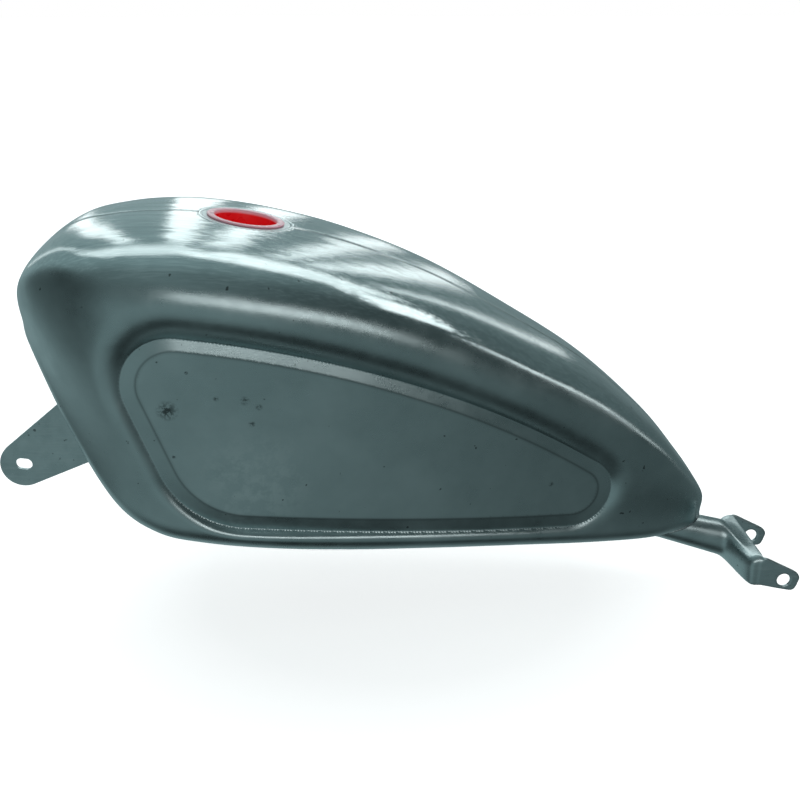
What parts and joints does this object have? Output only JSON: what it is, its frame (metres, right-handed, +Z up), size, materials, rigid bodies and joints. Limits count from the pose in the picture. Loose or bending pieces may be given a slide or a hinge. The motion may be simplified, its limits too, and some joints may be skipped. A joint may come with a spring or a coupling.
{
  "type": "motorcycle fuel tank",
  "caption": "Bare-steel teardrop motorcycle fuel tank with indented sides, plugged filler neck, frame tunnel, slotted front tongue and eared rear bracket.",
  "frame": {"origin": "middle of the rear bolt's axis, halfway between the two rear ears", "axes": "+X forward along the tank, +Y to the rider's left, +Z up"},
  "size_m": [0.6689, 0.2686, 0.3241],
  "materials": {
    "body_steel": "bare sheet steel, ground lengthwise on top and hazy on the sides",
    "bracket_steel": "bare mill-finish steel",
    "weld_steel": "as-welded or ground steel",
    "red_plastic": "translucent red moulded plastic"
  },
  "bodies": {
    "tank": {"left_shell": "body_steel", "right_shell": "body_steel", "top_seam_weld": "body_steel", "left_floor_plate": "body_steel", "right_floor_plate": "body_steel", "left_rim_weld": "weld_steel", "right_rim_weld": "weld_steel", "tunnel_channel": "body_steel", "left_tunnel_weld": "weld_steel", "right_tunnel_weld": "weld_steel", "filler_neck": "bracket_steel", "filler_neck_weld": "weld_steel", "front_doubler_plate": "bracket_steel", "front_mount_tongue": "bracket_steel", "front_tongue_weld": "weld_steel", "rear_saddle_plate": "bracket_steel", "rear_mount_bracket": "bracket_steel", "rear_saddle_weld": "weld_steel", "petcock_bung": "bracket_steel", "petcock_bung_weld": "weld_steel", "vent_nipple": "bracket_steel", "vent_standpipe": "bracket_steel", "vent_nipple_weld": "weld_steel", "vent_pipe_stay": "bracket_steel"},
    "plug": {"filler_plug": "red_plastic"}
  },
  "joints": [
    {"name": "plug_pull", "type": "slide", "parent": "tank", "child": "plug", "axis": [-0.1702, 0, 0.9854], "range_m": [0, 0.06]}
  ]
}
